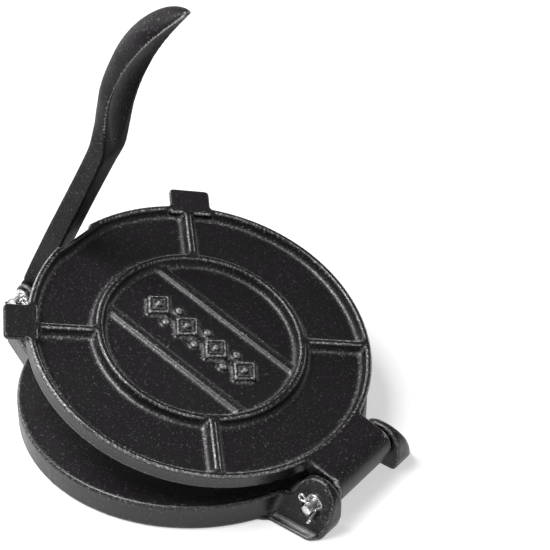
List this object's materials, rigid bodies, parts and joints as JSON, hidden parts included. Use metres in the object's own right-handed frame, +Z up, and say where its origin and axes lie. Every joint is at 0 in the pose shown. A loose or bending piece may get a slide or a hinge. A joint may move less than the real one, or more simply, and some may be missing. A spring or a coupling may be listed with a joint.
{
  "type": "tortilla press",
  "caption": "Cast-iron tortilla press: ribbed round lid on a rear hinge over a flat round base, with a long lever at the front that swings over to press the lid down.",
  "frame": {"origin": "centre of the base disc on the table plane", "axes": "+Z up, +X from the handle towards the lid hinge, both pivots along Y"},
  "size_m": [0.2605, 0.207, 0.274],
  "materials": {
    "base_iron": "pre-seasoned black, fine sand texture",
    "lid_iron": "pre-seasoned black, fine sand texture",
    "handle_iron": "pre-seasoned black, fine sand texture",
    "pin_steel": "turned, zinc bright",
    "washer_steel": "stamped, zinc bright",
    "split_pin_steel": "bent wire, zinc bright"
  },
  "bodies": {
    "base": {"base_plate": "base_iron", "hinge_axle": "pin_steel", "handle_axle": "pin_steel", "hinge_washer": "washer_steel", "handle_washer": "washer_steel", "hinge_split_pin": "split_pin_steel", "handle_split_pin": "split_pin_steel"},
    "lid": {"lid_plate": "lid_iron"},
    "handle": {"press_handle": "handle_iron"}
  },
  "joints": [
    {"name": "lid_hinge", "type": "hinge", "parent": "base", "child": "lid", "pos_m": [0.1155, 0, 0.0165], "axis": [0, 1, 0], "range_deg": [-15.6, 86.4]},
    {"name": "handle_pivot", "type": "hinge", "parent": "base", "child": "handle", "pos_m": [-0.122, 0, 0.032], "axis": [0, 1, 0], "range_deg": [-115, 0]}
  ]
}
